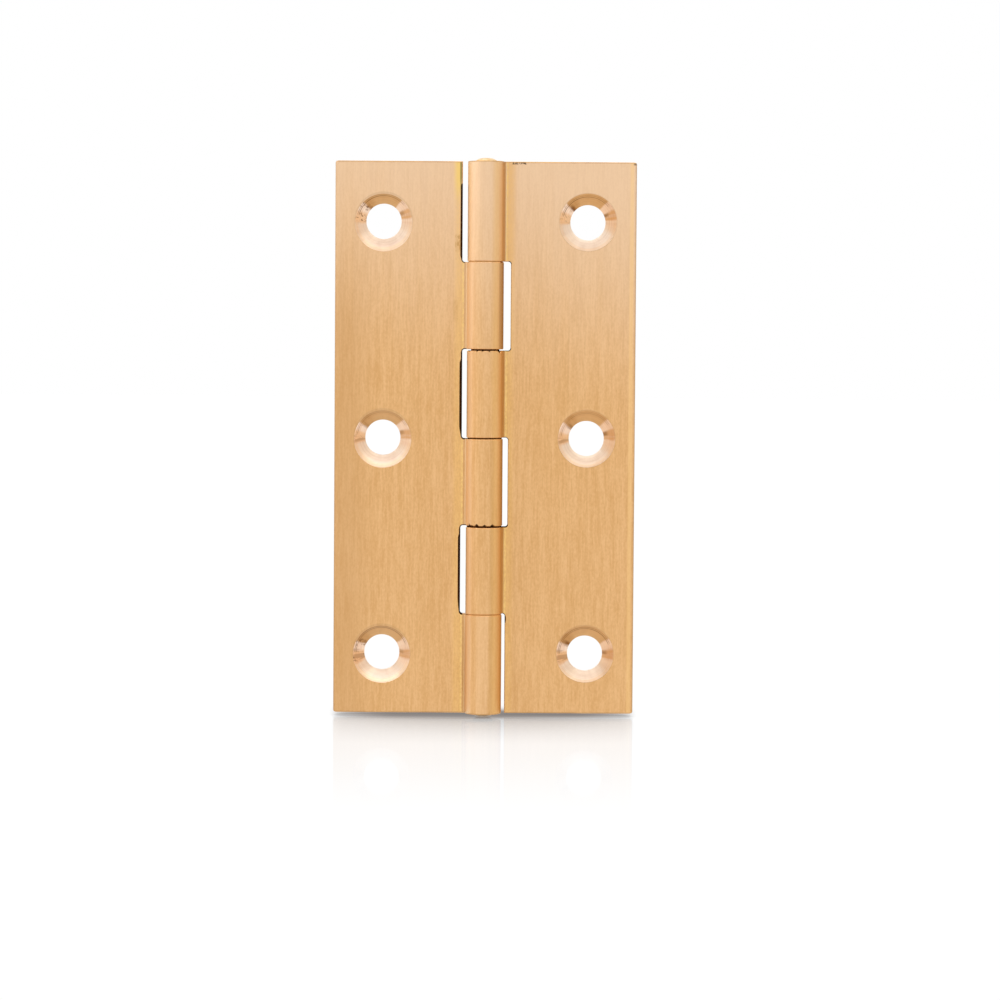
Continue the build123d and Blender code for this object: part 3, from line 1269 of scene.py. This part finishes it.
@dataclass(frozen=True)
class TurnedFinish(BrassFinish):
    """Countersinks and holes: bright metal in fine rings, with chatter marks across them, and patches of
    painted reflection round each hole, lighter below and golden above.

    The cells of its noise are along the distance from the hole's middle in millimetres, the angle round it
    in radians and z in millimetres, but for those of the wander, which are along x, y and z. Levels are
    ramps of a noise. Grooves, flecks, pits and scuffs are dark marks.
    """

    burn: Colour = tone(128, 84, 40)
    rim: Colour = tone(246, 210, 164)
    rim_share: float = 0.4
    reflection_fans: tuple[Fan, ...] = REFLECTION_FANS
    lean: float = 0.0053
    wander: float = 0.25
    wander_cells: Triple = (0.35, 0.35, 0.35)
    ring_cells: Triple = (6.0, 0.175, 0.03)
    chatter_cells: Triple = (0.25, 4.2, 0.5)
    pit_cells: Triple = (2.6, 9.6, 0.31)
    depth: float = 0.012
    ring_share: float = 0.6
    contrast: Pair = (0.36, 0.62)
    gaps: Pair = (0.38, 0.58)
    rim_radii: Pair = (3.45, 3.75)
    rim_spans: Spans = ((-170.0, -10.0),)
    groove_radii: tuple[Edges, ...] = ((3.42, 3.48, 3.52, 3.58), (3.62, 3.68, 3.7, 3.76))
    groove_spans: Spans = ((30.0, 175.0),)
    groove_levels: Edges = (0.4, 0.6, 0.3, 0.75)
    fleck_spans: Spans = ((160.0, 206.0), (-204.0, -168.0))
    fleck_levels: Edges = (0.52, 0.64, 0.0, 0.4)
    scuff_levels: Edges = (0.36, 0.6, 0.12, 0.0)
    pit_spans: Spans = ((136.0, 158.0), (168.0, 192.0), (-192.0, -172.0))
    pit_softness: float = 5.0
    pit_levels: Pair = (0.54, 0.64)
    pit_shares: Pair = (0.75, 0.3)
    pit_heights: Edges = (4.0, 12.0, 0.4, 1.0)

    @staticmethod
    def sector(angle: Signal, spans: Spans, soft: float = 4.0) -> Signal:
        """A mask that is 1 within any of the spans, with ends as soft as stated.

        Args:
            angle: the angle round the hole, in radians.
            spans: where each span starts and ends, in degrees.
            soft: half the width of a span's ends, in degrees.

        Returns:
            The mask.
        """
        mask = None
        for start, end in spans:
            edges = (start - soft, start + soft, end - soft, end + soft)
            band = angle.band(tuple(math.radians(edge) for edge in edges))
            mask = mask.most(band) if mask else band
        return mask

    @staticmethod
    def by_side(x: Signal, left_share: float, right_share: float) -> Signal:
        """One share on the left leaf and another on the right one."""
        return x.ramp(-1.0, 1.0, left_share, right_share)

    def make(self, effects: SurfaceEffects) -> Material:
        """Builds the material.

        The painted reflections and the marks are the same round every hole, but they lean down on holes
        further down.

        Args:
            effects: the shared node groups.

        Returns:
            The material.
        """
        material, draft, shader, place = self.start()
        holes = draft.group(effects.holes, {"Place": place})
        radius, angle = holes["Radius"], holes["Angle"]
        x, _, z = place.split()
        polar = draft.combine(radius, angle, z)
        rings = polar.noise(self.ring_cells, 3.0)
        chatter = polar.noise(self.chatter_cells)
        mixed = rings * self.ring_share + chatter * (1.0 - self.ring_share)
        colour = draft.blend(mixed.ramp(*self.contrast), self.dark, self.light)
        wander = (place.noise(self.wander_cells) - 0.5) * self.wander
        heading = angle - z * self.lean * angle.math("COSINE") + wander
        for fan in self.reflection_fans:
            mask = self.sector(heading, fan.spans, fan.soft)
            mask *= self.by_side(x, fan.left_share, fan.right_share)
            if fan.rings:
                mask *= radius.band(fan.rings)
            if fan.broken:
                mask *= chatter.broken(*self.gaps, fan.broken)
            colour = draft.blend(mask, colour, fan.colour)
        # Painted reflection: the outer ring of the lower half is warmer.
        rim = radius.ramp(*self.rim_radii) * self.sector(heading, self.rim_spans)
        colour = draft.blend(rim * self.rim_share, colour, self.rim)
        inner_groove, outer_groove = (radius.band(edges) for edges in self.groove_radii)
        grooves = (inner_groove + outer_groove) * rings.ramp(*self.groove_levels)
        grooves *= self.sector(heading, self.groove_spans)
        flecks = chatter.ramp(*self.fleck_levels) * self.sector(heading, self.fleck_spans)
        pits = polar.noise(self.pit_cells).ramp(*self.pit_levels)
        pits *= self.sector(heading, self.pit_spans, self.pit_softness)
        pits *= self.by_side(x, *self.pit_shares)
        pits *= abs(z).ramp(*self.pit_heights)
        marks = pits.most(grooves.most(flecks)).most(mixed.ramp(*self.scuff_levels))
        self.finish(draft, shader, draft.blend(marks, colour, self.burn), mixed, self.depth)
        return material


@dataclass(frozen=True)
class PeenedFinish(BrassFinish):
    """The pin: drawn rod with hammered ends, of which the lower one is darkened as painted shade, where it
    stands in the floor's shadow.
    """

    # A grey-brown painted on the lower end as shade.
    shaded_brown: Colour = tone(120, 96, 74)
    foot_shade_share: float = 0.8
    foot_shade_heights: Pair = (-38.1, -37.9)
    blow_cells: Triple = (1.6, 1.6, 1.6)
    contrast: Pair = (0.35, 0.65)
    depth: float = 0.03

    def make(self) -> Material:
        """Builds the material."""
        material, draft, shader, place = self.start()
        blows = place.noise(self.blow_cells)
        colour = draft.blend(blows.ramp(*self.contrast), self.dark, self.light)
        # Painted shade on the lower end.
        foot_shade = place.split()[2].ramp(*self.foot_shade_heights, self.foot_shade_share, 0.0)
        self.finish(draft, shader, draft.blend(foot_shade, colour, self.shaded_brown), blows, self.depth)
        return material


@dataclass(frozen=True)
class Softbox:
    """A rectangular lamp, in metres, that shines towards a point."""

    WATTS_PER_AREA = 4.0

    name: str
    place: Triple
    width: float
    height: float
    level: float
    aim: Triple = (0.0, 0.0, 0.0)

    def build(self) -> None:
        """Makes the lamp, whose power grows with its area so that its face has the level given."""
        lamp = bpy.data.lights.new(self.name, "AREA")
        lamp.shape = "RECTANGLE"
        lamp.size = self.width
        lamp.size_y = self.height
        lamp.energy = self.level * self.width * self.height * self.WATTS_PER_AREA
        holder = bpy.data.objects.new(self.name, lamp)
        holder.location = self.place
        away = Vector(self.aim) - Vector(self.place)
        holder.rotation_euler = away.to_track_quat("-Z", "Y").to_euler()
        bpy.context.scene.collection.objects.link(holder)


@dataclass
class Studio:
    """The camera, the floor, the room's light and the lamps, in metres.

    The camera's angles are in degrees, and the levels are those of plain white. Fields of four values are
    ramps: where it starts and ends, and its value before and after. Along y they run away from the camera,
    and inward they run from the hinge's outer edge towards the pin.
    """

    floor_height: float
    camera_distance: float = 0.5
    camera_height: float = 0.0164
    pitch_down: float = 2.85
    yaw_right: float = 0.25
    roll: float = 0.395
    focal_px: float = 3633.7
    nearest: float = 0.01
    floor_size: float = 4.0
    floor_sheen: float = 0.17
    sheen_roughness: float = 0.05
    sheen_reach: float = 0.12
    sheen_gap: float = 0.005
    floor_level: float = 1.02
    floor_glow: float = 1.0
    shadow_reach: float = 0.034
    shadow_floor: float = 0.455
    shadow_half_width: float = 0.0207
    shadow_end: Edges = (0.006, 0.016, 1.0, 0.0)
    soft_light: Pair = (0.5, 0.98)
    soft_behind: Edges = (0.0018, 0.0028, 1.0, 1.35)
    soft_inward: Edges = (-0.001, 0.0018, 0.6, 1.0)
    contact_reach: float = 0.01
    contact_depth: float = 0.7
    contact_light: Edges = (0.72, 1.0, 1.0, 0.0)
    contact_inward: Pair = (-0.002, 0.009)
    contact_start: Pair = (-0.0042, 0.0014)
    # Warm tint of the contact shadow, a painted reflection of the brass.
    contact_tone: Colour = tone(255, 216, 190)
    shadow_slant: float = 0.1
    shadow_samples: int = 8
    edge_softness: float = 0.05
    least_softness: Edges = (-0.002, 0.001, 0.0002, 0.0008)
    room_level: float = 0.98
    room_tilt: Triple = (-0.05, 0.0, 0.0)
    sky_gain: float = 0.1
    sky_heights: Pair = (0.05, 0.6)
    diffuse_share: float = 0.35

    def place_camera(self) -> None:
        """Sets the camera in front of the pin, a little above the middle, with the lens of the photograph."""
        lens = bpy.data.cameras.new("Camera")
        lens.sensor_width = SENSOR_WIDTH_MM
        lens.lens = self.focal_px / IMAGE_WIDTH_PX * lens.sensor_width
        lens.clip_start = self.nearest
        camera = bpy.data.objects.new("Camera", lens)
        camera.location = (0.0, -self.camera_distance, self.camera_height)
        turns = ((0.0, 0.0, -self.yaw_right), (90.0 - self.pitch_down, 0.0, 0.0), (0.0, 0.0, self.roll))
        turn, tilt, lean = (Euler(tuple(map(math.radians, angles))).to_matrix() for angles in turns)
        camera.rotation_euler = (turn @ tilt @ lean).to_euler()
        bpy.context.scene.collection.objects.link(camera)
        bpy.context.scene.camera = camera

    def lay_floor(self) -> None:
        """Lays a plain white floor that keeps the hinge's soft shadow and a faint sheen of it."""
        half = self.floor_size / 2
        corners = [(-half, -half), (half, -half), (half, half), (-half, half)]
        mesh = bpy.data.meshes.new("Floor")
        mesh.from_pydata([(x, y, self.floor_height) for x, y in corners], [], [(0, 1, 2, 3)])
        floor = show("Floor", mesh)
        material = bpy.data.materials.new("Floor white")
        material.use_nodes = True
        draft = NodeDraft(material.node_tree)
        material.node_tree.nodes.remove(material.node_tree.nodes["Principled BSDF"])
        x, y, _ = draft.read("NewGeometry", output="Position").split()
        inward = self.shadow_half_width - abs(x) * (self.camera_distance / (y + self.camera_distance))
        softness = (y * -self.edge_softness).most(y.ramp(*self.least_softness))
        beneath = (inward / softness).ramp(-1.0, 1.0) * y.ramp(*self.shadow_end)
        wide, close = (
            draft.read("AmbientOcclusion", {"Distance": reach}, "AO", samples=self.shadow_samples)
            for reach in (self.shadow_reach, self.contact_reach)
        )
        soft = draft.read("MapRange", dict(enumerate((wide, *self.soft_light, 1.0 - self.shadow_floor, 0.0))))
        soft = soft * y.ramp(*self.soft_behind) * inward.ramp(*self.soft_inward)
        contact = close.ramp(*self.contact_light) * (inward.ramp(*self.contact_inward) * self.contact_depth)
        contact *= (y - x.most(0.0) * self.shadow_slant).ramp(*self.contact_start)
        pressed = contact * beneath
        shadow = (1.0 - soft * beneath) * (1.0 - pressed)
        # The contact shadow is tinted warm as a painted reflection of the brass.
        warmth = draft.blend(pressed, WHITE, self.contact_tone)
        lit = draft.read("Emission", {"Color": warmth, "Strength": shadow * self.floor_level})
        glow = draft.read("Emission", {"Color": WHITE, "Strength": self.floor_glow})
        base = draft.read("MixShader", {0: draft.rays()[0], 1: glow, 2: lit})
        sheen = draft.read("BsdfGlossy", {"Color": WHITE, "Roughness": self.sheen_roughness})
        mirror = y.ramp(-self.sheen_reach, -self.sheen_gap, 0.0, self.floor_sheen)
        surface = draft.read("MixShader", {0: mirror, 1: base, 2: sheen})
        draft.feed(material.node_tree.nodes["Material Output"], {0: surface})
        mesh.materials.append(material)
        floor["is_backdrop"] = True

    def light_room(self) -> None:
        """Makes the world white where the camera looks, and a softly uneven room for the metal."""
        world = bpy.data.worlds.new("Room")
        bpy.context.scene.world = world
        world.use_nodes = True
        draft = NodeDraft(world.node_tree)
        seen, diffuse = draft.rays()
        direction = draft.read("TexCoord", output="Generated")
        slope = draft.read("VectorMath", {0: direction, 1: self.room_tilt}, "Value", operation="DOT_PRODUCT")
        sky = direction.split()[2].ramp(*self.sky_heights, 0.0, self.sky_gain)
        room = (slope + sky + self.room_level).most(0.0) * diffuse.ramp(0.0, 1.0, 1.0, self.diffuse_share)
        level = draft.read("Mix", {0: seen, 2: room, 3: 1.0}, data_type="FLOAT")
        draft.feed(world.node_tree.nodes["Background"], {"Color": WHITE, "Strength": level})

    def build(self) -> None:
        """Makes everything round the hinge."""
        self.place_camera()
        self.lay_floor()
        self.light_room()
        Softbox("Overhead", place=(0.0, -0.1, 0.6), width=1.4, height=0.5, level=1.0).build()
        Softbox("Left side", place=(-0.8, -0.2, 0.1), width=0.6, height=0.9, level=0.4).build()
        bpy.context.scene.view_settings.view_transform = "Standard"


def build_finishes(effects: SurfaceEffects) -> tuple[dict[Surface, Material], Material]:
    """Makes the brass finishes.

    Args:
        effects: the shared node groups.

    Returns:
        The leaves' materials by kind of surface, and the pin's material.
    """
    golden = (tone(218, 167, 106), tone(236, 188, 132))
    # Dark browns of tarnish, also used as painted shade in the slots and gaps.
    shaded_brown = (tone(46, 22, 10), tone(78, 44, 20))
    # Light as fresh-cut brass, and lighter still as a painted highlight.
    bright = (tone(254, 224, 200), tone(255, 234, 214))
    brushed = BrushedFinish("Brushed brass", *golden, roughness=0.42, anisotropic=0.6, coat=0.25)
    sawn = SawnFinish("Sawn brass", tone(188, 140, 86), tone(222, 174, 112), roughness=0.45)
    # Near-black tarnish that also paints the shade in the slots and gaps.
    tarnished_and_shaded = SawnFinish("Tarnished brass", *shaded_brown, roughness=0.8, metallic=0.0, specular=0.0)
    turned = TurnedFinish("Turned brass", *bright, roughness=0.35, anisotropic=0.3)
    peened = PeenedFinish("Peened brass", tone(236, 200, 146), tone(250, 222, 176), roughness=0.34)
    leaves = {
        Surface.BRUSHED: brushed.make(effects),
        Surface.SAWN: sawn.make(),
        Surface.TURNED: turned.make(effects),
        Surface.TARNISHED: tarnished_and_shaded.make(),
    }
    return leaves, peened.make()


def main() -> None:
    """Builds the hinge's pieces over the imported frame, and the studio round them."""
    logging.basicConfig(level=logging.INFO, format="%(message)s")
    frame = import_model()
    cad_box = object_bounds()
    sizes = HingeSizes.from_frame(frame)
    leaf_finishes, pin_finish = build_finishes(SurfaceEffects(sizes))
    left = HingeLeaf(
        sizes,
        Side.LEFT,
        first_knuckle=1,
        edge_roll=0.012,
        lips={
            0: (WallLip(0.15, 1.4, 35.1, 24.4),),
            2: (WallLip(0.05, 1.4, 12.2, 0.1), WallLip(0.17, 1.4, 11.0, 0.1, 0.7, 1.8)),
            4: (WallLip(0.05, 1.4, -12.2, -24.2), WallLip(0.14, 1.4, -13.1, -24.1, 0.6, 2.2)),
        },
        nicks={
            (1, 1): (Nick(2.35, 0.16, 0.2),),
            (3, -1): (
                Nick(-2.08, 0.3, 0.17),
                Nick(-1.7, 0.1, 0.1),
                Nick(-1.03, 0.24, 0.2),
                Nick(0.07, 0.15, 0.18),
                Nick(1.17, 0.2, 0.2),
            ),
        },
        sink_drift=-0.22,
    )
    right = HingeLeaf(
        sizes,
        Side.RIGHT,
        first_knuckle=0,
        edge_roll=0.03,
        lips={5: (WallLip(0.08, 0.8, -24.3, -25.8), WallLip(0.018, 0.8, -28.0, -32.5))},
        wall_creep={1: 0.06, 3: 0.08, 5: 0.16},
        slot_ease=0.09,
        nicks={
            (2, 1): (
                Nick(-2.3, 0.12, 0.2),
                Nick(-1.16, 0.08, 0.12),
                Nick(-0.39, 0.06, 0.1),
                Nick(0.59, 0.12, 0.12),
                Nick(2.07, 0.28, 0.2),
            ),
        },
    )
    for part, finish in ((left, leaf_finishes), (right, leaf_finishes), (HingePin(sizes), pin_finish)):
        piece = part.build()
        part.dress(piece, finish)
        LOG.info("%s: %d faces", piece.name, len(piece.data.polygons))
    Studio(floor_height=cad_box[0].z).build()


if __name__ == "__main__":
    main()
